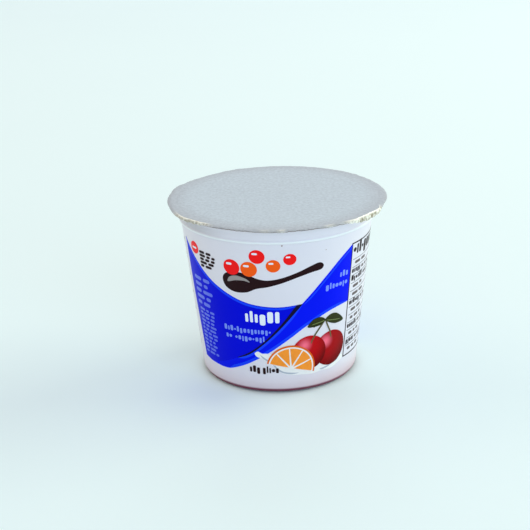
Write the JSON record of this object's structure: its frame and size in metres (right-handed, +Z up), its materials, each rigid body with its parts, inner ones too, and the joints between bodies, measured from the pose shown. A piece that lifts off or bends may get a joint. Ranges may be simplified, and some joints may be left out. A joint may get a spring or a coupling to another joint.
{
  "type": "yogurt pot",
  "caption": "Small tapered white plastic yogurt pot with a blue printed label, shut by a round silver foil lid whose edge is folded down in places.",
  "frame": {"origin": "centre of the foot ring, on the surface that the pot stands on", "axes": "+Z up along the pot's axis, the front of the label towards -Y"},
  "size_m": [0.068, 0.068, 0.056],
  "materials": {
    "white_plastic": "smooth moulded white plastic, satin gloss, printed in blue on the wall",
    "foil": "matt silver sealing foil with a fine embossed grain"
  },
  "bodies": {
    "root": {"pot": "white_plastic", "foil_lid": "foil"}
  },
  "joints": []
}
